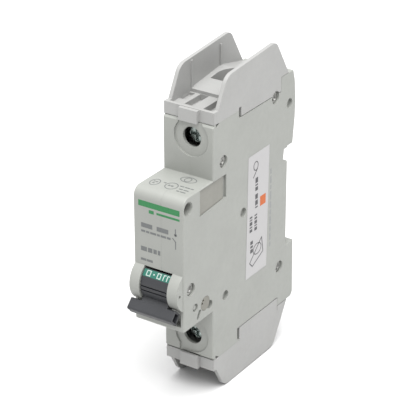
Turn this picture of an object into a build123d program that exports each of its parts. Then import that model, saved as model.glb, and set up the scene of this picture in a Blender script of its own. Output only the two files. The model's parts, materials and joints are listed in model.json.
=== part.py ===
from build123d import *
import os
from math import atan2, cos, degrees, hypot, radians, sin

# Single-pole DIN-rail miniature circuit breaker with clip-on terminal barrier covers.
# Millimetres. X is the width, Y the depth (the toggle faces -Y, the rail is at +Y), Z is up.
# The origin is on the rail seat, at mid width and at the height of the rail's centre line.

# ---------------------------------------------------------------- driving dimensions
WIDTH = 18.0
HALF = WIDTH / 2
PARTING_X = 1.05          # plane where the two case halves meet, through the terminal screws
WALL = 1.5

NOSE_Y = -59.35           # front of the nose, which stands through a panel cut-out
NOSE_Z = 22.5
SHOULDER_Y = -43.3
BODY_Z = 40.45            # ends of the case, under the barrier covers
REAR_TOP_Z = 43.05
REAR_LOW_Z = 38.7
CLAW_Z = 17.66            # upper edge of the rail channel
STEP_Z = 17.75            # lower edge of the rail channel
STEP_Y = -4.65            # front of the raised rear corners of the case
TONGUE = 0.6              # how far the covers' side tongues are let into the case
TONGUE_Y = -27.8          # front of the tongues, behind the snap slits
SLIT = 1.3                # width of the snap slits
HEAD_SINK = 0.65          # how far the rivet and pin heads lie below the side
HEAD = 0.55               # thickness of those heads
TAB_X = (-3.05, 3.65)     # locating tab in the middle of each cover's front lip

TOGGLE_Y, TOGGLE_Z = -55.5, -9.0
DRUM_R = 6.6
CHEEK_R = 7.2
WINDOW_X = (-5.2, 5.05)
DRUM_X = (-4.95, 4.8)
PADDLE_X = (-8.5, 7.8)
TOGGLE_PIN_R = 1.2

CARRIER_Y, CARRIER_Z = -40.0, 4.0
CRANK_R = 3.2             # crank pin on the toggle
CARRIER_ARM = 10.6        # carrier pivot to the link's slot
CARRIER_THROW = 23.0
BEND_Y, BEND_Z = -31.0, 5.9   # where the contact arm bends, on its upper face
TIP_LENGTH = 12.2
ARM_THICK = 1.2

TRIP_Y, TRIP_Z = -47.6, -17.35
HUB_HEAD = 1.3            # thickness of the trip lever's head in the case wall
COIL_Z = -10.5            # solenoid axis
SCREW_X = 1.05
UPPER_SCREW_Z = 34.9
LOWER_SCREW_Z = -33.2
SCREW_HEAD_R = 3.0
ENTRY_X, ENTRY_Y = 0.5, -18.9
ENTRY_FRONT_Y = -22.2
SCREW_R = 2.4

RIVETS = [(-37.6, 26.8), (-7.9, 37.1), (-4.0, -24.1)]
COVER_WALL = 1.25
DECK_END_Y = -1.25        # rear edge of the covers' floors, clear of the rail clip


# ---------------------------------------------------------------- small helpers
def block(x, y, z, mode=Mode.ADD):
    """Add or cut a box given as three (low, high) ranges."""
    centre = tuple((low + high) / 2 for low, high in (x, y, z))
    size = [high - low for low, high in (x, y, z)]
    with Locations(centre):
        Box(*size, mode=mode)


def rod_x(radius, y, z, x, mode=Mode.ADD):
    """Add or cut a round bar along X between two x values."""
    with Locations(((x[0] + x[1]) / 2, y, z)):
        Cylinder(radius, x[1] - x[0], rotation=(0, 90, 0), mode=mode)


def rod_y(radius, x, z, y, mode=Mode.ADD):
    """Add or cut a round bar along Y between two y values."""
    with Locations((x, (y[0] + y[1]) / 2, z)):
        Cylinder(radius, y[1] - y[0], rotation=(90, 0, 0), mode=mode)


def rod_z(radius, x, y, z, mode=Mode.ADD):
    """Add or cut a round bar along Z between two z values."""
    with Locations((x, y, (z[0] + z[1]) / 2)):
        Cylinder(radius, z[1] - z[0], mode=mode)


def side_prism(points, x, mode=Mode.ADD, radii=None):
    """Extrude an outline of (y, z) points between two x values, rounding the listed corners."""
    with BuildSketch(Plane.YZ.offset(x[0])) as outline:
        with BuildLine():
            Polyline(*points, close=True)
        make_face()
        for index, radius in (radii or {}).items():
            corner = outline.vertices().sort_by_distance((*points[index], 0))[0]
            fillet(corner, radius)
    extrude(outline.sketch, amount=x[1] - x[0], mode=mode)


def slot_x(start, end, radius, x, mode=Mode.SUBTRACT):
    """Add or cut a round-ended slot between two (y, z) points, along X."""
    (y0, z0), (y1, z1) = start, end
    length = hypot(y1 - y0, z1 - z0)
    with BuildSketch(Plane.YZ.offset(x[0])) as outline:
        with Locations(((y0 + y1) / 2, (z0 + z1) / 2)):
            SlotCenterToCenter(length, 2 * radius, rotation=degrees(atan2(z1 - z0, y1 - y0)))
    extrude(outline.sketch, amount=x[1] - x[0], mode=mode)


def wire_entry(radius, z):
    """Cut an upright wire entry: straight across the front, round at the back."""
    with BuildSketch(Plane.XY.offset(z[0])) as outline:
        with Locations((ENTRY_X, ENTRY_Y)):
            Circle(radius)
        with Locations((ENTRY_X, ENTRY_Y - radius / 2)):
            Rectangle(2 * radius, radius)
        with Locations((ENTRY_X, ENTRY_FRONT_Y - radius)):
            Rectangle(4 * radius, 2 * radius, mode=Mode.SUBTRACT)
    extrude(outline.sketch, amount=z[1] - z[0], mode=Mode.SUBTRACT)


def coil(radius, wire_radius, length, turns, start, axis):
    """Wind a wire helix of the given length from a start point along an axis."""
    with BuildLine() as helix:
        Helix(pitch=length / turns, height=length, radius=radius, center=start, direction=axis)
    path = helix.wires()[0]
    with BuildSketch(Plane(origin=path @ 0, z_dir=path % 0)) as section:
        Circle(wire_radius)
    sweep(section.sketch, path=path)


def save(builder, name):
    """Label one finished piece and write it as its own STEP file."""
    builder.part.label = name
    export_step(builder.part, f"parts/{name}.step")


os.makedirs("parts", exist_ok=True)

# ---------------------------------------------------------------- case
case_outline = [
    (NOSE_Y, NOSE_Z), (SHOULDER_Y, NOSE_Z), (SHOULDER_Y, BODY_Z - 0.9), (SHOULDER_Y + 0.9, BODY_Z),
    (STEP_Y, BODY_Z), (STEP_Y, REAR_TOP_Z), (2.7, REAR_TOP_Z), (3.8, 39.5), (4.4, 33.0), (4.3, 27.0),
    (3.1, CLAW_Z),
    (0.0, CLAW_Z), (0.0, 17.2), (-2.0, 17.2), (-2.6, 13.2), (0.0, 12.6), (0.0, -STEP_Z),
    (4.6, -STEP_Z), (5.0, -37.2), (3.9, -REAR_LOW_Z), (STEP_Y, -REAR_LOW_Z), (STEP_Y, -BODY_Z),
    (SHOULDER_Y + 0.9, -BODY_Z), (SHOULDER_Y, 0.9 - BODY_Z), (SHOULDER_Y, -NOSE_Z), (NOSE_Y, -NOSE_Z),
]
case_corners = {0: 3.0, 6: 0.8, 7: 12.0, 8: 20.0, 9: 25.0, 18: 1.2, 19: 0.8, 25: 0.6}
cavity_outline = [
    (-57.75, 20.9), (-41.7, 20.9), (-41.7, 37.9), (-4.2, 37.9), (-4.2, -37.9), (-41.7, -37.9),
    (-41.7, -20.9), (-55.0, -20.9), (-55.0, TOGGLE_Z), (-57.75, TOGGLE_Z),
]
CAVITY_X = (-HALF + WALL, HALF - WALL)
FULL_X = (-HALF, HALF)


def terminal_recess(screw_z, end, channel_x):
    """Screwdriver hole in a shoulder, with the shallow arch around it that opens to the end."""
    with BuildSketch(Plane.XZ.offset(-SHOULDER_Y)) as arch:
        with Locations((SCREW_X, screw_z)):
            Circle(6.2)
        with Locations((sum(channel_x) / 2, (screw_z + end * BODY_Z) / 2)):
            Rectangle(channel_x[1] - channel_x[0], abs(end * BODY_Z - screw_z) + 0.2)
    extrude(arch.sketch, amount=-0.55, mode=Mode.SUBTRACT)
    rod_y(3.3, SCREW_X, screw_z, (SHOULDER_Y - 1, -41.0), Mode.SUBTRACT)


with BuildPart() as case:
    side_prism(case_outline, FULL_X, radii=case_corners)
    # the sides are bevelled all round, except where the covers carry them on
    rims = case.faces().filter_by(Axis.X).edges()
    chamfer(rims.filter_by(lambda rim: abs(abs(rim.center().Z) - BODY_Z) > 0.1), 0.25)
    side_prism(cavity_outline, CAVITY_X, Mode.SUBTRACT)
    # partitions between the mechanism and the two terminal compartments
    for low, high in ((26.3, 27.5), (-27.6, -26.4)):
        block(CAVITY_X, (-41.8, -25.2), (low, high))
    # upper rail hook, in the middle of the width
    hook = [(0.9, CLAW_Z + 0.3), (1.3, CLAW_Z), (1.3, 15.7), (2.0, 15.3), (3.1, 16.4), (3.15, 18.2)]
    side_prism(hook, (-6.0, 6.0))
    # rib behind the upper hook that carries the rail's edge, and relief beside the clip
    block((-5.5, 5.5), (-3.0, 0.0), (12.0, 15.0))
    block((-6.5, 6.5), (-0.3, 0.5), (-STEP_Z, -15.0), Mode.SUBTRACT)
    # weight-saving pockets in the thick back wall
    for low, high in ((20.5, 29.0), (35.8, 41.2)):
        block((-6.0, 7.0), (-2.6, 2.0), (low, high), Mode.SUBTRACT)

    # recess below the cheeks where the paddle swings, and the toggle's round cheeks
    block((-7.9, 7.9), (NOSE_Y - 1, -56.3), (-20.75, TOGGLE_Z), Mode.SUBTRACT)
    rod_x(CHEEK_R, TOGGLE_Y, TOGGLE_Z, (-8.7, WINDOW_X[0]))
    rod_x(CHEEK_R, TOGGLE_Y, TOGGLE_Z, (WINDOW_X[1], 8.7))
    rod_x(DRUM_R + 0.5, TOGGLE_Y, TOGGLE_Z, WINDOW_X, Mode.SUBTRACT)
    rod_x(2.5, TOGGLE_Y, TOGGLE_Z, (-7.0, WINDOW_X[0]), Mode.SUBTRACT)
    block(WINDOW_X, (NOSE_Y - 1, -56.5), (-14.5, -3.1), Mode.SUBTRACT)
    rod_x(TOGGLE_PIN_R, TOGGLE_Y, TOGGLE_Z, (-8.2, HALF + 1), Mode.SUBTRACT)
    rod_x(2.15, TOGGLE_Y, TOGGLE_Z, (HALF - HEAD_SINK - HEAD, HALF + 1), Mode.SUBTRACT)

    # wire entries through both ends, and the screwdriver holes in both shoulders
    for end in (1, -1):
        wire_entry(6.2, (37.0, BODY_Z + 1) if end > 0 else (-BODY_Z - 1, -37.0))
    terminal_recess(UPPER_SCREW_Z, 1, (-3.6, 3.7))
    terminal_recess(LOWER_SCREW_Z, -1, (-3.6, 0.35))

    # bosses and holes for the rivets, and the blind accessory holes in the right side
    for y, z in RIVETS:
        rod_x(2.8, y, z, CAVITY_X)
        rod_x(1.3, y, z, (-HALF - 1, HALF + 1), Mode.SUBTRACT)
        for side in (-1, 1):
            sunk = sorted((side * (HALF - HEAD_SINK - HEAD), side * (HALF + 1)))
            rod_x(2.05, y, z, sunk, Mode.SUBTRACT)
    for y, z, radius in ((0.6, 32.35, 1.6), (-26.2, 4.9, 1.6), (-36.2, -19.8, 1.6)):
        rod_x(radius, y, z, (HALF - 1.1, HALF + 1), Mode.SUBTRACT)
    rod_x(2.9, -56.4, 18.7, (HALF - 3.6, HALF - 0.8))
    rod_x(2.0, -56.7, 18.7, (HALF - 3.0, HALF + 1), Mode.SUBTRACT)
    rod_x(2.25, -56.7, 18.7, (HALF - 0.3, HALF + 1), Mode.SUBTRACT)

    # trip lever hub with its head in the wall, the openings beside it and the pip in front of it
    rod_x(2.06, TRIP_Y, TRIP_Z, (0, HALF + 1), Mode.SUBTRACT)
    rod_x(2.41, TRIP_Y, TRIP_Z, (HALF - HUB_HEAD, HALF + 1), Mode.SUBTRACT)
    rod_x(1.05, TRIP_Y, TRIP_Z, (-8.4, 0), Mode.SUBTRACT)
    slot_x((-45.7, -18.5), (-44.9, -19.0), 1.35, (HALF - 1.2, HALF + 1))
    slot_x((-50.6, -18.9), (-51.6, -20.6), 0.65, (HALF - 1.2, HALF + 1))
    rod_x(1.35, -53.1, -16.4, (HALF - 0.7, HALF + 1), Mode.SUBTRACT)
    rod_x(0.75, -53.1, -16.4, (HALF - 0.8, HALF - 0.3))
    rod_x(0.5, -61.0, -9.15, (8.2, HALF), Mode.SUBTRACT)

    # pocket for the blanking plate, with its deeper finger groove at the rear
    plate_pocket = [(-50.4, 22.1), (-36.0, 22.1), (-36.0, 14.4), (-50.4, 13.45)]
    side_prism(plate_pocket, (HALF - 0.85, HALF + 1), Mode.SUBTRACT)

    # rebates for the covers' side tongues, with a snap slit in front of each
    for side in (-1, 1):
        rebate_x = sorted((side * (HALF - TONGUE - 0.05), side * (HALF + 1)))
        block(rebate_x, (TONGUE_Y - 0.1, STEP_Y), (37.95, BODY_Z + 1), Mode.SUBTRACT)
        block(rebate_x, (TONGUE_Y - 0.1, STEP_Y), (-BODY_Z - 1, -35.3), Mode.SUBTRACT)
        slit_x = sorted((side * (HALF - 1.6), side * (HALF + 1)))
        block(slit_x, (TONGUE_Y - SLIT, TONGUE_Y), (37.95, BODY_Z + 1), Mode.SUBTRACT)
        block(slit_x, (TONGUE_Y - SLIT, TONGUE_Y), (-39.7, -35.3), Mode.SUBTRACT)
        # small notches near the corners of the shoulders
        for end in (-1, 1):
            top = end * (BODY_Z + 0.2)
            notch = [(-41.8, top), (-40.1, top), (-40.1, top - end * 0.5), (-41.8, top - end * 1.4)]
            side_prism(notch, sorted((side * (HALF - 1.1), side * (HALF + 1))), Mode.SUBTRACT)

    # channel for the rail clip, with side grooves, a stop peg and a clear way for the hook
    block((-5.5, 5.5), (-1.2, 6.0), (-REAR_LOW_Z - 1, -STEP_Z - 0.25), Mode.SUBTRACT)
    block((-5.5, 5.5), (0.9, 6.0), (-STEP_Z - 1, -STEP_Z + 1), Mode.SUBTRACT)
    block((-6.8, 6.8), (0.0, 1.6), (-REAR_LOW_Z - 1, -STEP_Z - 1.0), Mode.SUBTRACT)
    block((-1.4, 1.4), (-1.6, 1.2), (-33.4, -32.2))

split_plane = Plane.YZ.offset(PARTING_X)
with BuildPart() as case_right:
    add(case.part)
    split(bisect_by=split_plane, keep=Keep.TOP)
save(case_right, "case_right")
with BuildPart() as case_left:
    add(case.part)
    split(bisect_by=split_plane, keep=Keep.BOTTOM)
save(case_left, "case_left")

with BuildPart() as case_rivets:
    for y, z in RIVETS:
        rod_x(1.25, y, z, (HEAD_SINK - HALF, HALF - HEAD_SINK))
        for side in (-1, 1):
            face = side * (HALF - HEAD_SINK)
            rod_x(1.95, y, z, sorted((face - side * HEAD, face)))
            rod_x(1.2, y, z, sorted((face - side * 0.35, face + side)), Mode.SUBTRACT)
save(case_rivets, "case_rivets")

with BuildPart() as side_blanking_plate:
    plate = [(-50.3, 22.0), (-37.4, 22.0), (-37.4, 14.4), (-50.3, 13.55)]
    side_prism(plate, (HALF - 0.85, HALF - 0.35))
save(side_blanking_plate, "side_blanking_plate")

with BuildPart() as side_label:
    side_prism([(-23.5, 22.5), (-11.2, 22.6), (-12.15, -19.9), (-24.5, -19.9)], (HALF, HALF + 0.12))
save(side_label, "side_label")


# ---------------------------------------------------------------- barrier covers
def cover_walls(outline, radii, tongue_z, end):
    """Both side walls of a cover, thinned where their tongues lie in the case's rebates."""
    for side in (-1, 1):
        outer, inner = side * HALF, side * (HALF - COVER_WALL)
        side_prism(outline, sorted((outer, inner)), radii=radii)
        thin = side * (HALF - TONGUE)
        block(sorted((outer, thin)), (TONGUE_Y, STEP_Y - 0.1), sorted((tongue_z, end * BODY_Z)))


def cover_ribs(floor_z, top_z):
    """Two shallow upright ribs on the inner face of each wall."""
    for y in (-30.2, -14.0):
        for side in (-1, 1):
            inner = side * (HALF - COVER_WALL)
            rib_x = (inner, inner + 0.35) if side < 0 else (inner - 0.35, inner)
            block(rib_x, (y, y + 0.9), sorted((floor_z, top_z)))


def cover_floor(end, rear_low, tab_high):
    """Floor between the walls: front lip, pocketed shelf, raised deck with the wire entry."""
    step_y = STEP_Y - end * 0.1
    deck = [
        (-42.8, BODY_Z), (-42.8, 44.4), (-42.0, 44.4), (-42.0, 43.3), (-30.3, 43.3),
        (-30.3, 44.4), (-13.3, 46.4), (DECK_END_Y, rear_low + 0.7), (DECK_END_Y, rear_low),
        (step_y, rear_low), (step_y, BODY_Z),
    ]
    inside = HALF - COVER_WALL
    side_prism([(y, end * z) for y, z in deck], (-inside, inside))
    # front lip across the full width, and the locating tab in its middle
    lip = sorted((end * BODY_Z, end * 44.4))
    block(FULL_X, (-42.8, -41.6), lip)
    block(TAB_X, (-44.1, -42.6), sorted((end * (BODY_Z + 0.02), end * tab_high)))
    block(TAB_X, (-44.1, SHOULDER_Y - 0.05), sorted((end * 40.0, end * 41.0)))
    # pockets in the shelf
    for x_low, x_high, y_low, y_high, depth in (
            (-4.0, -1.0, -39.2, -30.4, 2.0), (2.9, 5.9, -40.2, -30.4, 2.0),
            (-7.7, -5.7, -36.4, -31.0, 0.9)):
        pocket = sorted((end * (43.3 - depth), end * 44.0))
        block((x_low, x_high), (y_low, y_high), pocket, Mode.SUBTRACT)
    # wire entry: straight front edge and round back
    reach = sorted((end * (BODY_Z - 1), end * 48))
    wire_entry(6.4, reach)
    # hollows under the raised deck, in front of and behind the wire entry
    hollow = sorted((end * BODY_Z, end * 42.6))
    block((-6.3, 6.3), (-29.3, -23.6), hollow, Mode.SUBTRACT)
    block((-6.3, 6.3), (-11.2, -6.2), hollow, Mode.SUBTRACT)


upper_wall = [
    (-42.8, BODY_Z), (-42.8, 44.4), (-40.5, 44.4), (-35.5, 53.8), (-7.95, 55.75),
    (-0.3, REAR_TOP_Z), (STEP_Y - 0.1, REAR_TOP_Z), (STEP_Y - 0.1, BODY_Z),
]
with BuildPart() as upper_terminal_cover:
    cover_walls(upper_wall, {3: 4.6, 4: 3.2}, 38.2, 1)
    cover_floor(1, REAR_TOP_Z, 44.2)
    cover_ribs(44.0, 53.4)
    # the snap slits run on into the walls, and the tongues clear the rivet heads at the rear
    block(FULL_X, (TONGUE_Y - SLIT, TONGUE_Y), (BODY_Z - 1, BODY_Z + 0.9), Mode.SUBTRACT)
    rod_x(2.2, *RIVETS[1], (-HALF - 1, HALF + 1), Mode.SUBTRACT)
save(upper_terminal_cover, "upper_terminal_cover")

lower_wall = [
    (-42.8, -BODY_Z), (-42.8, -44.4), (-41.4, -44.4), (-36.65, -52.8), (-7.1, -52.4),
    (1.3, -REAR_LOW_Z), (STEP_Y + 0.1, -REAR_LOW_Z), (STEP_Y + 0.1, -BODY_Z),
]
with BuildPart() as lower_terminal_cover:
    cover_walls(lower_wall, {3: 4.5, 4: 3.2}, -35.6, -1)
    cover_floor(-1, REAR_LOW_Z, 44.7)
    cover_ribs(-44.0, -50.5)
save(lower_terminal_cover, "lower_terminal_cover")


# ---------------------------------------------------------------- toggle
def polar(radius, angle):
    """Point at an angle around the toggle pin, from straight ahead and turning upwards."""
    return (TOGGLE_Y - radius * cos(radians(angle)), TOGGLE_Z + radius * sin(radians(angle)))


def sector(inner, outer, start, end):
    """Outline of a ring sector around the toggle pin, as one closed face in the open sketch."""
    middle = (start + end) / 2
    with BuildLine() as ring:
        ThreePointArc(polar(outer, start), polar(outer, middle), polar(outer, end))
        Line(polar(outer, end), polar(inner, end))
        ThreePointArc(polar(inner, end), polar(inner, middle), polar(inner, start))
        Line(polar(inner, start), polar(outer, start))
    make_face(ring.edges())


CRANK_ANGLE = 48.0
RIM_TOP, RIM_END = 54.0, -144.0
BAND_END = 31.5
crank_y, crank_z = polar(CRANK_R, CRANK_ANGLE)
paddle_outline = [(-61.95, -13.65), (-64.6, -16.35), (-62.1, -19.1), (-59.7, -15.95)]

with BuildPart() as toggle:
    # rim that closes the window, with a web at each end carrying the hub and the crank
    with BuildSketch(Plane.YZ.offset(DRUM_X[0])) as rim:
        sector(5.0, DRUM_R, RIM_TOP, RIM_END)
    extrude(rim.sketch, amount=DRUM_X[1] - DRUM_X[0])
    for low, high in ((DRUM_X[0], -1.3), (1.3, DRUM_X[1])):
        with BuildSketch(Plane.YZ.offset(low)) as web:
            sector(0.6, 5.4, RIM_TOP, RIM_END)
            with Locations((TOGGLE_Y, TOGGLE_Z)):
                Circle(2.4)
        extrude(web.sketch, amount=high - low)
    # neck and wide paddle
    neck = [polar(5.6, -34), polar(8.9, -37), polar(8.9, -57), polar(5.6, -62)]
    side_prism(neck, (DRUM_X[0] + 0.1, DRUM_X[1] - 0.1))
    side_prism(paddle_outline, PADDLE_X, radii={0: 0.5, 1: 0.6, 2: 0.5, 3: 0.4})
    with BuildSketch(Plane.YZ.offset(PADDLE_X[1] - 3.5)) as paddle_hollow:
        with BuildLine():
            Polyline(*paddle_outline, close=True)
        make_face()
        offset(amount=-0.6)
    extrude(paddle_hollow.sketch, amount=WIDTH, mode=Mode.SUBTRACT)
    # grip ridges across the drum above the neck, with a groove above each
    for angle in (5.0, -7.0):
        with BuildSketch(Plane.YZ.offset(DRUM_X[0] + 0.1)) as ridge:
            sector(6.2, DRUM_R + 0.2, angle - 3.0, angle - 6.0)
        extrude(ridge.sketch, amount=DRUM_X[1] - DRUM_X[0] - 0.2)
        with BuildSketch(Plane.YZ.offset(DRUM_X[0] - 1)) as groove:
            sector(DRUM_R - 0.6, DRUM_R + 1, angle, angle - 3.0)
        extrude(groove.sketch, amount=WIDTH, mode=Mode.SUBTRACT)
    # shallow seat for the marking band, bore for the pin, seats for the crank pin
    with BuildSketch(Plane.YZ.offset(DRUM_X[0] - 1)) as band_seat:
        sector(DRUM_R - 0.25, DRUM_R + 1, 52.0, BAND_END)
    extrude(band_seat.sketch, amount=WIDTH, mode=Mode.SUBTRACT)
    rod_x(TOGGLE_PIN_R + 0.05, TOGGLE_Y, TOGGLE_Z, FULL_X, Mode.SUBTRACT)
    # pin that the link hangs on, across the gap between the two webs
    rod_x(0.75, crank_y, crank_z, (-2.0, 2.0))
save(toggle, "toggle")

with BuildPart() as off_band:
    with BuildSketch(Plane.YZ.offset(DRUM_X[0] + 0.05)) as band:
        sector(DRUM_R - 0.25, DRUM_R, 52.0, BAND_END)
    extrude(band.sketch, amount=DRUM_X[1] - DRUM_X[0] - 0.1)
save(off_band, "off_band")

with BuildPart() as toggle_pin:
    rod_x(TOGGLE_PIN_R, TOGGLE_Y, TOGGLE_Z, (-8.2, HALF - HEAD_SINK))
    rod_x(2.0, TOGGLE_Y, TOGGLE_Z, (HALF - HEAD_SINK - HEAD, HALF - HEAD_SINK))
    rod_x(1.1, TOGGLE_Y, TOGGLE_Z, (HALF - HEAD_SINK - 0.35, HALF), Mode.SUBTRACT)
save(toggle_pin, "toggle_pin")

# ---------------------------------------------------------------- link and contact carrier
half_swing = radians(CARRIER_THROW / 2)
link_y = CARRIER_Y - CARRIER_ARM * sin(half_swing)
link_z = CARRIER_Z - CARRIER_ARM * cos(half_swing)

with BuildPart() as link_rod:
    slot_x((crank_y, crank_z), (link_y, link_z), 0.65, (-0.9, 0.9), Mode.ADD)
    rod_x(1.25, crank_y, crank_z, (-0.9, 0.9))
    rod_x(0.8, crank_y, crank_z, (-1, 1), Mode.SUBTRACT)
    rod_x(0.6, link_y, link_z, (-3.2, 3.2))
save(link_rod, "link_rod")


def carrier_point(along, across):
    """Point on the carrier's lower arm: distance from its pivot, and offset towards the rear."""
    return (CARRIER_Y - along * sin(half_swing) + across * cos(half_swing),
            CARRIER_Z - along * cos(half_swing) - across * sin(half_swing))


with BuildPart() as contact_carrier:
    rod_x(3.0, CARRIER_Y, CARRIER_Z, (-3.6, 3.6))
    arm = [carrier_point(0, -2.4), carrier_point(12.8, -1.8), carrier_point(12.8, 1.8),
           carrier_point(0, 2.4)]
    side_prism(arm, (-3.6, 3.6))
    # gap for the link between the two arms, and the slot that its cross pin slides in
    block((-1.3, 1.3), (-52.0, -30.0), (-12.0, 0.6), Mode.SUBTRACT)
    slot_x(carrier_point(CARRIER_ARM - 1.5, 0), carrier_point(CARRIER_ARM + 0.7, 0), 0.9,
           (-HALF, HALF))
    rod_x(1.25, CARRIER_Y, CARRIER_Z, FULL_X, Mode.SUBTRACT)
    # seat under the contact arm, and the hood that its pressure spring pushes against
    block((-3.6, 3.6), (-38.6, -33.4), (3.2, 4.7))
    for side in (-1, 1):
        block(sorted((side * 2.8, side * 3.6)), (-37.4, -33.4), (4.0, 9.6))
    block((-3.6, 3.6), (-37.4, -33.4), (8.8, 9.6))
    rod_x(1.25, CARRIER_Y, CARRIER_Z, FULL_X, Mode.SUBTRACT)
save(contact_carrier, "contact_carrier")

with BuildPart() as carrier_pin:
    rod_x(1.2, CARRIER_Y, CARRIER_Z, CAVITY_X)
save(carrier_pin, "carrier_pin")

with BuildPart() as contact_arm:
    # the free end slopes by the carrier's throw, so that it lies flat when the contacts meet
    end_y = BEND_Y + TIP_LENGTH * cos(radians(CARRIER_THROW))
    end_z = BEND_Z - TIP_LENGTH * sin(radians(CARRIER_THROW))
    rise = ARM_THICK / cos(radians(CARRIER_THROW))
    side_prism([(-36.8, BEND_Z - ARM_THICK), (-36.8, BEND_Z), (BEND_Y, BEND_Z), (end_y, end_z),
                (end_y, end_z - rise), (BEND_Y - 0.2, BEND_Z - ARM_THICK)], (-2.5, 2.5))
save(contact_arm, "contact_arm")

button_y = BEND_Y + 10.2 * cos(radians(CARRIER_THROW))
button_z = BEND_Z - 10.2 * sin(radians(CARRIER_THROW))
with BuildPart() as moving_contact:
    with Locations(Location((0, button_y, button_z), (-CARRIER_THROW, 0, 0))):
        Cylinder(1.9, 1.1, align=(Align.CENTER, Align.CENTER, Align.MIN))
save(moving_contact, "moving_contact")

with BuildPart() as contact_spring:
    coil(1.5, 0.22, 2.4, 3, (0, -35.4, 6.15), (0, 0, 1))
save(contact_spring, "contact_spring")

# ---------------------------------------------------------------- fixed contact and arc chute
# the moving contact's face when the carrier has turned through its throw, plus a hair
swing = radians(CARRIER_THROW)
closed_z = (CARRIER_Z + (BEND_Y - CARRIER_Y) * sin(swing) + (BEND_Z - CARRIER_Z) * cos(swing)) + 1.1
FIXED_FACE_Z = closed_z + 0.06
with BuildPart() as fixed_contact_bar:
    foot_low, foot_high = FIXED_FACE_Z + 1.1, FIXED_FACE_Z + 2.5
    side_prism([(-24.4, 37.3), (-23.0, 37.3), (-23.0, foot_high), (-19.6, foot_high),
                (-18.2, foot_high + 1.6), (-17.3, foot_high + 0.7), (-19.0, foot_low),
                (-24.4, foot_low)], (-2.6, 4.6))
save(fixed_contact_bar, "fixed_contact_bar")

with BuildPart() as fixed_contact:
    rod_z(2.0, 0.0, -21.9, (FIXED_FACE_Z, FIXED_FACE_Z + 1.1))
save(fixed_contact, "fixed_contact")

PLATES = 9
with BuildPart() as arc_chute_plates:
    for index in range(PLATES):
        z = -2.0 + 1.9 * index
        block((-5.6, 5.6), (-16.8, -6.4), (z, z + 0.8))
        block((-1.6, 1.6), (-17.0, -13.2), (z, z + 0.8), Mode.SUBTRACT)
save(arc_chute_plates, "arc_chute_plates")

with BuildPart() as arc_chute_cheeks:
    for low, high in ((-6.5, -5.65), (5.65, 6.5)):
        block((low, high), (-17.4, -6.0), (-3.2, 15.6))
save(arc_chute_cheeks, "arc_chute_cheeks")

with BuildPart() as arc_runner:
    side_prism([(-18.4, -3.4), (-18.4, -4.2), (-6.0, -4.2), (-6.0, -3.4)], (-3.0, 3.0))
save(arc_runner, "arc_runner")

# ---------------------------------------------------------------- trip lever
with BuildPart() as trip_lever:
    rod_x(2.0, TRIP_Y, TRIP_Z, (-7.2, HALF))
    rod_x(2.35, TRIP_Y, TRIP_Z, (HALF - HUB_HEAD, HALF))
    rod_x(1.0, TRIP_Y, TRIP_Z, (-8.3, -7.0))
    upright = [(-48.6, -17.4), (-46.4, -12.6), (-46.4, -8.0), (-44.9, -8.0), (-44.9, -13.2),
               (-46.2, -17.4)]
    side_prism(upright, (-3.0, 3.0))
    side_prism([(-47.2, -18.1), (-47.2, -16.8), (-36.5, -17.0), (-36.5, -18.0)], (-2.6, 2.6))
    # screwdriver pips in the hub's visible end
    for y, z in ((-1.1, 1.4), (-1.65, 0.5)):
        rod_x(0.42, TRIP_Y + y, TRIP_Z + z, (HALF - 0.9, HALF + 1), Mode.SUBTRACT)
save(trip_lever, "trip_lever")

# ---------------------------------------------------------------- solenoid
with BuildPart() as solenoid_yoke:
    block((-4.6, 4.6), (-34.6, -33.4), (-17.4, -5.4))
    block((-4.6, 4.6), (-20.6, -19.4), (-17.4, -5.4))
    block((-4.6, 4.6), (-34.6, -19.4), (-17.4, -16.2))
    rod_y(1.2, 0, COIL_Z, (-35, -33), Mode.SUBTRACT)
    rod_y(2.05, 0, COIL_Z, (-21, -19), Mode.SUBTRACT)
save(solenoid_yoke, "solenoid_yoke")

with BuildPart() as solenoid_bobbin:
    rod_y(2.7, 0, COIL_Z, (-33.3, -20.7))
    rod_y(5.0, 0, COIL_Z, (-33.3, -32.5))
    rod_y(5.0, 0, COIL_Z, (-21.5, -20.7))
    rod_y(2.1, 0, COIL_Z, (-34, -20), Mode.SUBTRACT)
save(solenoid_bobbin, "solenoid_bobbin")

with BuildPart() as solenoid_coil:
    coil(3.75, 0.75, 9.2, 5.5, (0, -31.6, COIL_Z), (0, 1, 0))
save(solenoid_coil, "solenoid_coil")

with BuildPart() as solenoid_core:
    rod_y(2.05, 0, COIL_Z, (-33.3, -31.0))
    rod_y(1.0, 0, COIL_Z, (-34, -30), Mode.SUBTRACT)
save(solenoid_core, "solenoid_core")

with BuildPart() as plunger:
    rod_y(1.95, 0, COIL_Z, (-25.6, -18.6))
    rod_y(0.7, 0, COIL_Z, (-43.2, -25.6))
save(plunger, "plunger")

with BuildPart() as plunger_spring:
    coil(1.45, 0.2, 4.8, 5, (0, -30.7, COIL_Z), (0, 1, 0))
save(plunger_spring, "plunger_spring")

# ---------------------------------------------------------------- thermal trip
with BuildPart() as bimetal_strip:
    block((-2.8, 2.8), (-38.0, -13.3), (-20.5, -19.6))
save(bimetal_strip, "bimetal_strip")

with BuildPart() as bimetal_bracket:
    block((-3.4, 3.4), (-16.6, -9.6), (-22.2, -20.7))
    block((-3.4, 3.4), (-11.0, -9.6), (-22.2, -16.4))
    rod_y(1.05, 0, -18.2, (-12, -9), Mode.SUBTRACT)
save(bimetal_bracket, "bimetal_bracket")

with BuildPart() as calibration_screw:
    rod_y(1.05, 0, -18.2, (-13.0, -8.2))
    rod_y(1.9, 0, -18.2, (-8.2, -6.9))
    block((-0.25, 0.25), (-7.3, -6.0), (-21, -15), Mode.SUBTRACT)
save(calibration_screw, "calibration_screw")

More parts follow.
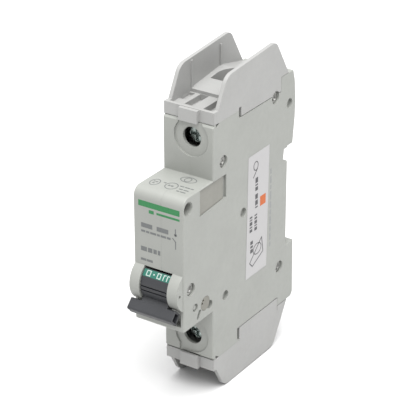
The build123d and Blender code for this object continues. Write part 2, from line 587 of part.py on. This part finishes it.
with BuildPart() as flexible_braid:
    with BuildLine() as route:
        FilletPolyline(*[(-5.4, y, z) for y, z in
                         ((-33.6, 0.6), (-30.5, -1.8), (-18.6, -2.4), (-17.4, -20.0), (-14.5, -21.4))],
                       radius=1.6)
    with BuildSketch(Plane(origin=route.line @ 0, z_dir=route.line % 0)):
        Circle(0.8)
    sweep()
save(flexible_braid, "flexible_braid")

# ---------------------------------------------------------------- torsion and pull springs
with BuildPart() as toggle_spring:
    coil(1.9, 0.22, 1.15, 2, (-6.75, TOGGLE_Y, TOGGLE_Z), (1, 0, 0))
save(toggle_spring, "toggle_spring")

with BuildPart() as trip_lever_spring:
    coil(2.45, 0.22, 2.4, 4, (4.4, TRIP_Y, TRIP_Z), (1, 0, 0))
save(trip_lever_spring, "trip_lever_spring")


# ---------------------------------------------------------------- terminals
def screw_solid(screw_z):
    """Terminal screw along Y with a slotted cross recess in its head."""
    rod_y(SCREW_HEAD_R, SCREW_X, screw_z, (-40.0, -37.8))
    rod_y(SCREW_R, SCREW_X, screw_z, (-37.8, -24.5))
    for width, depth in ((4.6, 0.9), (1.0, 4.6)):
        block((SCREW_X - width / 2, SCREW_X + width / 2), (-41.0, -39.0),
              (screw_z - depth / 2, screw_z + depth / 2), Mode.SUBTRACT)


def cage_solid(screw_z):
    """Cage around the terminal strap, open up and down where the wire passes."""
    block((SCREW_X - 5.2, SCREW_X + 5.2), (-29.6, -11.9), (screw_z - 3.2, screw_z + 2.7))
    block((SCREW_X - 4.1, SCREW_X + 4.1), (-27.2, -13.4), (screw_z - 4, screw_z + 4), Mode.SUBTRACT)
    rod_y(SCREW_R + 0.06, SCREW_X, screw_z, (-31, -27), Mode.SUBTRACT)


for name, screw_z in (("upper", UPPER_SCREW_Z), ("lower", LOWER_SCREW_Z)):
    with BuildPart() as terminal_screw:
        screw_solid(screw_z)
        chamfer(terminal_screw.edges().filter_by(GeomType.CIRCLE).group_by(Axis.Y)[0], 0.35)
    save(terminal_screw, f"{name}_terminal_screw")
    with BuildPart() as terminal_cage:
        cage_solid(screw_z)
    save(terminal_cage, f"{name}_terminal_cage")

with BuildPart() as load_strap:
    side_prism([(-24.4, -36.8), (-24.4, -22.4), (-16.6, -22.4), (-16.6, -23.8), (-23.0, -23.8),
                (-23.0, -36.8)], (-2.6, 4.6))
save(load_strap, "load_strap")

# ---------------------------------------------------------------- rail clip
with BuildPart() as din_clip:
    block((-5.2, 5.2), (-0.9, 3.4), (-40.6, -18.3))
    block((-6.5, 6.5), (0.2, 1.4), (-38.0, -22.0))
    side_prism([(1.35, -18.4), (1.35, -16.2), (3.0, -15.4), (3.4, -16.4), (3.4, -18.4)], (-5.2, 5.2))
    block((-1.8, 1.8), (-2.0, 1.8), (-33.7, -23.4), Mode.SUBTRACT)
    block((-2.6, 2.6), (1.9, 4.0), (-39.6, -38.4), Mode.SUBTRACT)
save(din_clip, "din_clip")

with BuildPart() as din_clip_spring:
    coil(1.0, 0.25, 8.2, 8, (0, 0.2, -31.9), (0, 0, 1))
save(din_clip_spring, "din_clip_spring")
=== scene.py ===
import json
import math

import bmesh
import bpy
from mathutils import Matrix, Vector


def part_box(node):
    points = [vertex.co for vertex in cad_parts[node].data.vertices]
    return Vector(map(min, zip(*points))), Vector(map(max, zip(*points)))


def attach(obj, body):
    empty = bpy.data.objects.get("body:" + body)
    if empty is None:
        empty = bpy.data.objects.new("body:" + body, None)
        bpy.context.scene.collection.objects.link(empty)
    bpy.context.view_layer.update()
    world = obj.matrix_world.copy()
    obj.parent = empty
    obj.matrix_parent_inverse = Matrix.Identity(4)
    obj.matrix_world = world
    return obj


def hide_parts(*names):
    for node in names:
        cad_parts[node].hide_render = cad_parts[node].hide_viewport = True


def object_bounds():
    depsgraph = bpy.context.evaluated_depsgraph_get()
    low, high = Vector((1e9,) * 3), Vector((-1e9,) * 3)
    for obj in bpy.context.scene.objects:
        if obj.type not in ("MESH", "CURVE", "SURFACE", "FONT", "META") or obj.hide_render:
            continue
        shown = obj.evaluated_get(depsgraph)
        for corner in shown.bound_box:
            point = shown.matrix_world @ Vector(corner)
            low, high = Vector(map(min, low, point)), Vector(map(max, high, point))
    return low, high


# Looks of a DIN-rail miniature circuit breaker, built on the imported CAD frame.
# Metres. X is the width, Y the depth (toggle towards -Y), Z is up.
# Printed marks are laid out in millimetres and scaled once, in print_marks.

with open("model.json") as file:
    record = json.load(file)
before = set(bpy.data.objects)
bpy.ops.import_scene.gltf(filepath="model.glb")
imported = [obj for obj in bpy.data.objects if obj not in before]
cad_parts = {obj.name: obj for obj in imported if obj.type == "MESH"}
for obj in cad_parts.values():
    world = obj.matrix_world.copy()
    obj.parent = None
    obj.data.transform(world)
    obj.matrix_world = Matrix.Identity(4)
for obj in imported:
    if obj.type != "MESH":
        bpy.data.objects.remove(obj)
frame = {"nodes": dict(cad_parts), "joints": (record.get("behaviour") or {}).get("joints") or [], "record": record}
cad_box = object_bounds()
nodes = frame["nodes"]

MM = 0.001
SLOT_OF = {part["node"]: part["material_slot"] for part in frame["record"]["subparts"]}
JOINT_PLACE = {joint["name"]: joint.get("pos_m") for joint in frame["joints"]}

# Surfaces that carry prints, in millimetres
NOSE_Y = -59.35                                   # front of the nose
NOSE_Z = 22.5                                     # top of the nose
SIDE_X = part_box("case_right")[1].x / MM           # accessory side of the case
LABEL_THICK = 0.06
TOGGLE_Y, TOGGLE_Z = (place / MM for place in JOINT_PLACE["toggle_pivot"][1:])
DRUM_R = 6.6                                      # toggle drum under the green band


# ---------------------------------------------------------------- camera
CAMERA_AZIMUTH = math.radians(33.455)
CAMERA_ELEVATION = math.radians(26.433)
CAMERA_PLACE = (279.2 * MM, -455.0 * MM, 258.4 * MM)
CAMERA_LENS = 157.64
CAMERA_SENSOR = 36.0


def make_camera():
    data = bpy.data.cameras.new("camera")
    data.lens = CAMERA_LENS
    data.sensor_width = CAMERA_SENSOR
    data.clip_start = 0.01
    data.clip_end = 20.0
    camera = bpy.data.objects.new("camera", data)
    bpy.context.scene.collection.objects.link(camera)
    back = Vector((math.sin(CAMERA_AZIMUTH) * math.cos(CAMERA_ELEVATION),
                   -math.cos(CAMERA_AZIMUTH) * math.cos(CAMERA_ELEVATION),
                   math.sin(CAMERA_ELEVATION)))
    camera.location = CAMERA_PLACE
    camera.rotation_mode = "QUATERNION"
    camera.rotation_quaternion = (-back).to_track_quat("-Z", "Y")
    bpy.context.scene.camera = camera


# ---------------------------------------------------------------- stage and light
FLOOR_REACH = 3.0
FLOOR_GAP = 0.2 * MM                              # floor below the lowest piece
FLOOR_GREY = 0.6
SOFTBOX_PLACE = (0.25, -0.25, 1.0)
SOFTBOX_TARGET = (0.0, -0.03, 0.0)
SOFTBOX_SIZE = 1.05
SOFTBOX_POWER = 27.0
WHITE = (1.0, 1.0, 1.0, 1.0)


def make_world():
    world = bpy.data.worlds.new("studio")
    bpy.context.scene.world = world
    world.use_nodes = True
    background = world.node_tree.nodes["Background"]
    background.inputs["Color"].default_value = WHITE
    background.inputs["Strength"].default_value = 1.0
    bpy.context.scene.view_settings.view_transform = "Standard"


def make_floor():
    level = cad_box[0].z - FLOOR_GAP
    corners = [(x * FLOOR_REACH, y * FLOOR_REACH, level) for x, y in ((-1, -1), (1, -1), (1, 1), (-1, 1))]
    mesh = bpy.data.meshes.new("floor")
    mesh.from_pydata(corners, [], [(0, 1, 2, 3)])
    floor = bpy.data.objects.new("floor", mesh)
    bpy.context.scene.collection.objects.link(floor)
    material, shader, _ = new_material("floor_paper")
    shader.inputs["Base Color"].default_value = (FLOOR_GREY, FLOOR_GREY, FLOOR_GREY, 1.0)
    shader.inputs["Roughness"].default_value = 0.9
    floor.data.materials.append(material)


def make_softbox():
    data = bpy.data.lights.new("overhead", "AREA")
    data.shape = "SQUARE"
    data.size = SOFTBOX_SIZE
    data.energy = SOFTBOX_POWER
    light = bpy.data.objects.new("overhead", data)
    bpy.context.scene.collection.objects.link(light)
    light.location = SOFTBOX_PLACE
    direction = Vector(SOFTBOX_TARGET) - Vector(SOFTBOX_PLACE)
    light.rotation_mode = "QUATERNION"
    light.rotation_quaternion = direction.to_track_quat("-Z", "Y")


# ---------------------------------------------------------------- material nodes
# Noise scales, in cells per metre
TONE_SCALE, GLOSS_SCALE, GRAIN_SCALE = 90.0, 600.0, 5200.0
TARNISH_SCALE, LINE_SCALE = 260.0, 1800.0
INK_TONE_SCALE, INK_GLOSS_SCALE = 3000.0, 1500.0
NOISE_LOW, NOISE_HIGH = 0.3, 0.7                  # part of the noise range that is used
GRAIN_DEPTH = 0.02 * MM                           # spark-eroded mould texture
LINE_DEPTH = 0.01 * MM                            # drawing and turning lines in metal
EDGE_RADIUS = 0.22 * MM                           # moulding radius shown on edges


def new_material(name):
    material = bpy.data.materials.new(name)
    material.use_nodes = True
    tree = material.node_tree
    shader = tree.nodes["Principled BSDF"]
    return material, shader, tree


def noise(tree, scale, detail, stretch=(1.0, 1.0, 1.0)):
    """Noise in the object's own metres."""
    place = tree.nodes.new("ShaderNodeTexCoord")
    mapping = tree.nodes.new("ShaderNodeMapping")
    mapping.inputs["Scale"].default_value = stretch
    tree.links.new(place.outputs["Object"], mapping.inputs["Vector"])
    texture = tree.nodes.new("ShaderNodeTexNoise")
    texture.inputs["Scale"].default_value = scale
    texture.inputs["Detail"].default_value = detail
    tree.links.new(mapping.outputs["Vector"], texture.inputs["Vector"])
    return texture.outputs["Fac"]


def ramp(tree, factor, low, high):
    """Noise turned into a colour between low and high."""
    node = tree.nodes.new("ShaderNodeValToRGB")
    first, last = node.color_ramp.elements
    first.position, first.color = NOISE_LOW, (*low, 1.0)
    last.position, last.color = NOISE_HIGH, (*high, 1.0)
    tree.links.new(factor, node.inputs["Fac"])
    return node.outputs["Color"]


def remap(tree, factor, low, high):
    """Noise turned into a value between low and high."""
    node = tree.nodes.new("ShaderNodeMapRange")
    node.inputs["From Min"].default_value = NOISE_LOW
    node.inputs["From Max"].default_value = NOISE_HIGH
    node.inputs["To Min"].default_value = low
    node.inputs["To Max"].default_value = high
    tree.links.new(factor, node.inputs["Value"])
    return node.outputs["Result"]


def bump(tree, shader, height, depth, strength, edge=0.0):
    """Surface relief, over edges whose normals are rounded to the given radius."""
    node = tree.nodes.new("ShaderNodeBump")
    if edge:
        rounding = tree.nodes.new("ShaderNodeBevel")
        rounding.samples = 6
        rounding.inputs["Radius"].default_value = edge
        tree.links.new(rounding.outputs["Normal"], node.inputs["Normal"])
    node.inputs["Distance"].default_value = depth
    node.inputs["Strength"].default_value = strength
    tree.links.new(height, node.inputs["Height"])
    tree.links.new(node.outputs["Normal"], shader.inputs["Normal"])


# ---------------------------------------------------------------- materials
def plastic(name, colour, roughness, tone=0.03, grain=0.25):
    """Moulded thermoplastic: faint tone drift and a fine spark-eroded grain."""
    material, shader, tree = new_material(name)
    low = tuple(c * (1 - tone) for c in colour)
    high = tuple(min(1.0, c * (1 + tone)) for c in colour)
    tree.links.new(ramp(tree, noise(tree, TONE_SCALE, 3.0), low, high), shader.inputs["Base Color"])
    gloss = remap(tree, noise(tree, GLOSS_SCALE, 2.0), roughness - 0.05, roughness + 0.05)
    tree.links.new(gloss, shader.inputs["Roughness"])
    shader.inputs["IOR"].default_value = 1.5
    bump(tree, shader, noise(tree, GRAIN_SCALE, 2.0), GRAIN_DEPTH, grain, EDGE_RADIUS)
    return material


def metal(name, colour, roughness, stretch, tarnish=0.12):
    """Plated or bare metal with fine lines along one direction and a drifting tarnish."""
    material, shader, tree = new_material(name)
    dull = tuple(c * (1 - tarnish) for c in colour)
    tree.links.new(ramp(tree, noise(tree, TARNISH_SCALE, 4.0), dull, colour), shader.inputs["Base Color"])
    lines = noise(tree, LINE_SCALE, 3.0, stretch)
    tree.links.new(remap(tree, lines, roughness - 0.08, roughness + 0.1), shader.inputs["Roughness"])
    shader.inputs["Metallic"].default_value = 1.0
    bump(tree, shader, lines, LINE_DEPTH, 0.3)
    return material


def ink(name, colour):
    """Pad-printed ink with slightly uneven cover."""
    material, shader, tree = new_material(name)
    pale = tuple(min(1.0, c * 1.15 + 0.01) for c in colour)
    tree.links.new(ramp(tree, noise(tree, INK_TONE_SCALE, 2.0), colour, pale), shader.inputs["Base Color"])
    gloss = remap(tree, noise(tree, INK_GLOSS_SCALE, 2.0), 0.42, 0.6)
    tree.links.new(gloss, shader.inputs["Roughness"])
    return material


# Direction of the fine lines in metal: the noise is drawn out along one axis
ALONG_Y, ALONG_Z, EVEN = (1.0, 0.08, 1.0), (1.0, 1.0, 0.08), (1.0, 1.0, 1.0)

PLASTICS = {
    "case_plastic": dict(colour=(0.232, 0.238, 0.222), roughness=0.47),
    "cover_plastic": dict(colour=(0.256, 0.256, 0.250), roughness=0.45),
    "toggle_plastic": dict(colour=(0.018, 0.019, 0.022), roughness=0.5, tone=0.12, grain=0.4),
    "band_green": dict(colour=(0.012, 0.10, 0.073), roughness=0.45, tone=0.06),
    "label_white": dict(colour=(0.325, 0.32, 0.322), roughness=0.35, tone=0.01, grain=0.1),
    "blank_taupe": dict(colour=(0.18, 0.178, 0.158), roughness=0.55, tone=0.05),
    "fibre": dict(colour=(0.33, 0.12, 0.06), roughness=0.7, tone=0.15, grain=0.6),
    "mechanism_plastic": dict(colour=(0.66, 0.58, 0.42), roughness=0.45),
    "lever_plastic": dict(colour=(0.15, 0.146, 0.125), roughness=0.5),
    "bobbin_plastic": dict(colour=(0.03, 0.03, 0.03), roughness=0.45, tone=0.1),
    "clip_plastic": dict(colour=(0.045, 0.045, 0.045), roughness=0.5, tone=0.12),
}
METALS = {
    "steel": dict(colour=(0.40, 0.40, 0.385), roughness=0.36, stretch=ALONG_Z, tarnish=0.35),
    "zinc_screw": dict(colour=(0.42, 0.48, 0.46), roughness=0.26, stretch=EVEN, tarnish=0.55),
    "spring_steel": dict(colour=(0.55, 0.55, 0.56), roughness=0.3, stretch=EVEN),
    "copper": dict(colour=(0.80, 0.42, 0.26), roughness=0.3, stretch=ALONG_Y, tarnish=0.25),
    "silver_contact": dict(colour=(0.82, 0.81, 0.78), roughness=0.25, stretch=EVEN),
    "brass": dict(colour=(0.74, 0.58, 0.28), roughness=0.28, stretch=EVEN),
    "arc_steel": dict(colour=(0.48, 0.45, 0.43), roughness=0.38, stretch=ALONG_Y),
    "bimetal": dict(colour=(0.66, 0.60, 0.50), roughness=0.35, stretch=ALONG_Y),
}
MATERIALS = {name: plastic(name, **look) for name, look in PLASTICS.items()}
MATERIALS.update({name: metal(name, **look) for name, look in METALS.items()})

INK_GREEN = ink("ink_green", (0.004, 0.12, 0.03))
INK_GREY = ink("ink_grey", (0.085, 0.09, 0.09))
INK_FAINT = ink("ink_faint", (0.175, 0.18, 0.18))
INK_BLACK = ink("ink_black", (0.035, 0.035, 0.038))
INK_WHITE = ink("ink_white", (0.29, 0.34, 0.32))
INK_ORANGE = ink("ink_orange", (0.36, 0.07, 0.001))


def dress_cad_nodes():
    for name, node in nodes.items():
        node.data.materials.clear()
        node.data.materials.append(MATERIALS[SLOT_OF[name]])


# ---------------------------------------------------------------- rounded metal parts
ROUNDED_NODES = ("case_rivets", "toggle_pin", "upper_terminal_screw", "lower_terminal_screw")
HEAD_ROUNDING = 0.15 * MM
WELD_DISTANCE = 0.002 * MM
CREASE_ANGLE = math.radians(32.0)                 # edges that turn more than this are rounded
CAD_SHADING = ("custom_normal", "sharp_edge", "sharp_face")


def body_of(node):
    bodies = frame["record"]["behaviour"]["bodies"]
    return next(body for body, members in bodies.items() if node in members)


def rounded_shell(node):
    """Copy of a CAD node with its own shading and small radii on its edges."""
    mesh = nodes[node].data.copy()
    mesh.materials.clear()
    for attribute in [a.name for a in mesh.attributes if a.name in CAD_SHADING]:
        mesh.attributes.remove(mesh.attributes[attribute])
    shape = bmesh.new()
    shape.from_mesh(mesh)
    bmesh.ops.remove_doubles(shape, verts=shape.verts, dist=WELD_DISTANCE)
    for face in shape.faces:
        face.smooth = True
    shape.to_mesh(mesh)
    shape.free()
    mesh.materials.append(MATERIALS[SLOT_OF[node]])
    piece = bpy.data.objects.new(node + "_shell", mesh)
    bpy.context.scene.collection.objects.link(piece)
    bevel = piece.modifiers.new("edge_rounding", "BEVEL")
    bevel.width = HEAD_ROUNDING
    bevel.segments = 2
    bevel.limit_method = "ANGLE"
    bevel.angle_limit = CREASE_ANGLE
    bevel.use_clamp_overlap = False
    bevel.harden_normals = True
    bevel.miter_outer = "MITER_ARC"
    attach(piece, body_of(node))
    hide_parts(node)


# ---------------------------------------------------------------- outlines for prints
# Outlines are lists of (u, v) corners in millimetres on the surface they are printed on.
def bar(u, v, width, height):
    """Upright rectangle from its low corner."""
    return [(u, v), (u + width, v), (u + width, v + height), (u, v + height)]


def words(u, v, height, widths, gap):
    """Row of plain bars standing where small print would be."""
    shapes = []
    for width in widths:
        shapes.append(bar(u, v, width, height))
        u += width + gap
    return shapes


def column(u, top, width, lengths, gap):
    """Plain bars in a column, running down from the top."""
    shapes = []
    for length in lengths:
        shapes.append(bar(u, top - length, width, length))
        top -= length + gap
    return shapes


def ring(u, v, across, high, line, parts=28):
    """Oval outline made of short pieces."""
    shapes = []
    for index in range(parts):
        a, b = (2 * math.pi * step / parts for step in (index, index + 1))
        shapes.append([(u + (across + grow) * math.cos(angle), v + (high + grow) * math.sin(angle))
                       for angle, grow in ((a, 0.0), (b, 0.0), (b, line), (a, line))])
    return shapes


def stroke(start, end, line):
    """Straight line of the given thickness."""
    (u0, v0), (u1, v1) = start, end
    length = math.hypot(u1 - u0, v1 - v0)
    side_u, side_v = -(v1 - v0) / length * line / 2, (u1 - u0) / length * line / 2
    return [(u0 + side_u, v0 + side_v), (u0 - side_u, v0 - side_v),
            (u1 - side_u, v1 - side_v), (u1 + side_u, v1 + side_v)]


def chain(points, line):
    """Strokes from each point to the next."""
    return [stroke(start, end, line) for start, end in zip(points, points[1:])]


# ---------------------------------------------------------------- surfaces for prints
# Each gives the place, in millimetres, of (u, v) at a height over its surface.
def on_front(u, v, height):
    return (u, NOSE_Y - height, v)


def on_top(u, v, height):
    return (u, v, NOSE_Z + height)


def on_side(u, v, height):
    return (SIDE_X + height, u, v)


def on_label(u, v, height):
    return (SIDE_X + LABEL_THICK + height, u, v)


def on_drum(u, v, height):
    """u along the drum, v in degrees up from straight ahead."""
    radius, angle = DRUM_R + height, math.radians(v)
    return (u, TOGGLE_Y - radius * math.cos(angle), TOGGLE_Z + radius * math.sin(angle))


INK_SUNK, INK_RAISED = 0.01, 0.02
LABEL_INK_SUNK = 0.005


def print_marks(name, body, material, shapes, place, sunk=INK_SUNK, raised=INK_RAISED):
    """Thin closed layer of ink for each outline, set on a surface by place(u, v, height)."""
    verts, faces = [], []
    for shape in shapes:
        base, count = len(verts), len(shape)
        verts += [place(u, v, -sunk) for u, v in shape] + [place(u, v, raised) for u, v in shape]
        faces += [tuple(base + i for i in reversed(range(count))),
                  tuple(base + count + i for i in range(count))]
        faces += [(base + i, base + (i + 1) % count, base + count + (i + 1) % count, base + count + i)
                  for i in range(count)]
    mesh = bpy.data.meshes.new(name)
    mesh.from_pydata([tuple(c * MM for c in vert) for vert in verts], [], faces)
    mesh.materials.append(material)
    piece = bpy.data.objects.new(name, mesh)
    bpy.context.scene.collection.objects.link(piece)
    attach(piece, body)
    return piece


# ---------------------------------------------------------------- prints on the nose
def make_front_print():
    """Plain bars for the name and the ratings, and a generic switch symbol."""
    name_bar = bar(-7.2, 16.9, width=14.9, height=1.9)
    thin_bar = bar(-0.6, 15.3, width=8.3, height=0.7)
    small_block = bar(-3.4, 15.1, width=1.8, height=1.1)
    print_marks("print_green_bars", "case", INK_GREEN, [name_bar, thin_bar, small_block], on_front)

    grey = words(-6.3, 9.9, height=1.5, widths=(4.1, 4.2), gap=1.6)
    grey += words(-6.3, 8.3, height=0.7, widths=(1.5, 1.2, 2.2, 1.0, 2.0, 1.3), gap=0.3)
    grey += words(-6.5, 1.9, height=1.5, widths=(2.2, 1.6, 1.2, 0.9), gap=0.4)
    grey += words(-6.6, -1.4, height=0.8, widths=(2.0, 2.2), gap=0.2)
    line, cross_line = 0.35, 0.3
    switch_u = 6.2
    grey.append(stroke((switch_u, 12.4), (switch_u, 9.9), line))
    for left_v, right_v in ((10.7, 10.1), (10.1, 10.7)):
        grey.append(stroke((switch_u - 0.5, left_v), (switch_u + 0.5, right_v), cross_line))
    grey.append(stroke((5.1, 9.2), (switch_u, 8.1), line))
    grey.append(stroke((switch_u, 8.2), (switch_u, 5.6), line))
    print_marks("print_front_grey", "case", INK_GREY, grey, on_front)


def make_top_print():
    """Plain rings and bars in three groups."""
    line, inner_line = 0.3, 0.28
    shapes = ring(-5.3, -53.2, 1.3, 1.9, line) + ring(0.4, -52.8, 1.8, 2.0, line)
    shapes += ring(2.4, -46.6, 2.5, 1.6, line) + ring(2.2, -46.6, 0.9, 1.2, inner_line)
    shapes += words(-6.1, -53.0, height=0.55, widths=(0.6, 0.7), gap=0.25)
    shapes += words(-0.8, -53.1, height=0.7, widths=(0.7, 0.8), gap=0.3)
    for u, v, widths in ((-5.9, -54.1, (0.9,)), (-2.9, -52.2, (0.9,)), (2.6, -51.6, (1.4, 1.8, 1.0)),
                         (3.4, -53.4, (1.3, 1.7)), (3.4, -54.9, (1.0, 1.9))):
        shapes += words(u, v, height=0.5, widths=widths, gap=0.3)
    print_marks("print_top_grey", "case", INK_GREY, shapes, on_top)


# ---------------------------------------------------------------- print on the toggle band
def make_band_print():
    """A zero, a dot and a few plain strokes, each stroke in short steps that follow the drum."""
    low, step, steps = 33.8, 4.0, 4               # degrees up the drum
    cap, dot = 2.4, 4.0                           # heights, in degrees
    line = 0.32
    top = low + steps * step
    uprights = (-3.8, -2.5, 0.1, 1.2, 2.3, 3.6)
    shapes = [bar(u, low + index * step, line, step) for u in uprights for index in range(steps)]
    shapes += [bar(u, v, width=1.0, height=cap) for u in (-3.5, 0.35) for v in (low, top - cap)]
    shapes += [bar(u, top - cap, width=0.6, height=cap) for u in (2.6, 3.9)]
    shapes.append(bar(-1.3, low + 1.5 * step, width=0.5, height=dot))
    print_marks("print_band_white", "toggle", INK_WHITE, shapes, on_drum)


# ---------------------------------------------------------------- side label
LABEL_CORNERS = [(-23.5, 22.5), (-11.2, 22.6), (-12.15, -19.9), (-24.5, -19.9)]


def make_label():
    piece = print_marks("label_film", "case", MATERIALS["label_white"], [LABEL_CORNERS], on_side,
                        sunk=0.0, raised=LABEL_THICK)
    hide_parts("side_label")


def make_label_print():
    """Plain bars, a ring and a simple outline of a part, and a plain orange rectangle."""
    line, ring_line = 0.35, 0.3
    black = ring(-19.1, 18.2, 1.1, 1.3, 0.32) + [stroke((-20.6, 14.5), (-18.2, 17.0), line)]
    for u, top, lengths in ((-19.3, 14.0, (1.8, 0.5, 1.3)), (-19.3, 8.3, (1.7, 1.7, 0.5)),
                            (-19.6, 1.3, (0.5, 0.7, 1.1, 0.4, 1.1)),
                            (-22.4, 1.5, (0.6, 0.4, 1.2, 0.5, 1.0)), (-21.9, -7.3, (1.2, 0.8, 1.3))):
        black += column(u, top, width=1.5, lengths=lengths, gap=0.45)
    black += ring(-17.8, -11.3, 2.2, 1.7, ring_line)
    black += chain([(-20.6, -16.6), (-22.2, -14.9), (-15.2, -8.2), (-14.3, -13.6), (-20.6, -16.6)], line)
    print_marks("print_label_black", "case", INK_BLACK, black, on_label, sunk=LABEL_INK_SUNK)
    patch = bar(-16.4, 3.1, width=3.3, height=3.4)
    print_marks("print_label_patch", "case", INK_ORANGE, [patch], on_label, sunk=LABEL_INK_SUNK)


def make_side_print():
    """Faint bars on the case, to the rear of the label."""
    lengths = (1.9, 2.6, 1.4, 3.0, 2.2, 1.6, 2.8, 1.9, 2.4, 1.6)
    faint = column(-10.4, 13.8, width=0.8, lengths=lengths, gap=0.7)
    print_marks("print_side_faint", "case", INK_FAINT, faint, on_side)


make_camera()
make_world()
make_floor()
make_softbox()
dress_cad_nodes()
for name in ROUNDED_NODES:
    rounded_shell(name)
make_front_print()
make_top_print()
make_band_print()
make_label()
make_label_print()
make_side_print()
